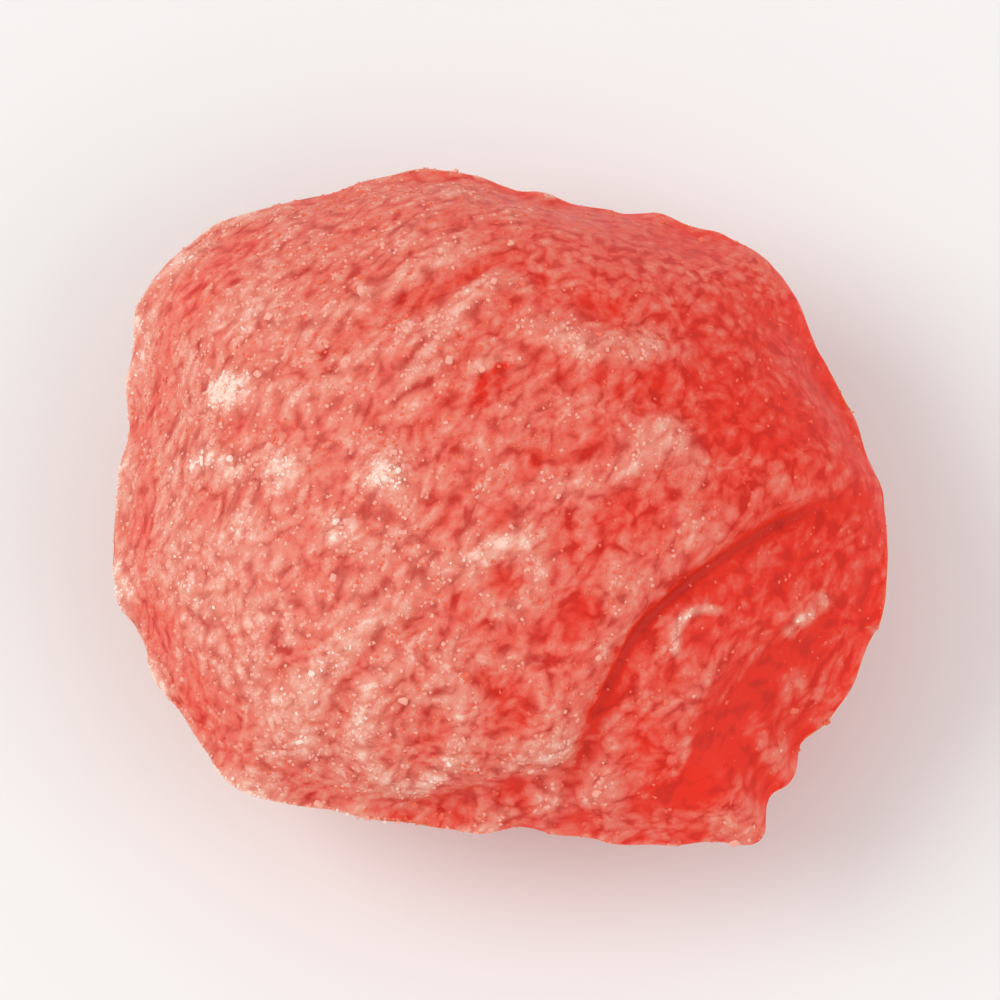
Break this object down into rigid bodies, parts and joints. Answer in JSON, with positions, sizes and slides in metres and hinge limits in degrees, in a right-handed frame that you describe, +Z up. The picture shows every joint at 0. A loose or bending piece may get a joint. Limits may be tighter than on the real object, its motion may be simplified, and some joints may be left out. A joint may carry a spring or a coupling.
{
  "type": "hard candy drop",
  "caption": "Round pillow-shaped drop of red boiled sugar with a ragged pressed seam round its edge, a lap fold on one side and a dusting of white sugar.",
  "frame": {"origin": "middle of the flat resting spot, below the middle of the drop's box, on the surface that the drop lies on", "axes": "+X along the drop's length, +Y across it, +Z up through the crown of the upper dome"},
  "size_m": [0.024, 0.0218, 0.0126],
  "materials": {
    "sugared_candy": "clear red boiled sugar under a fine, uneven dusting of white sugar"
  },
  "bodies": {
    "root": {"candy_drop": "sugared_candy"}
  },
  "joints": []
}
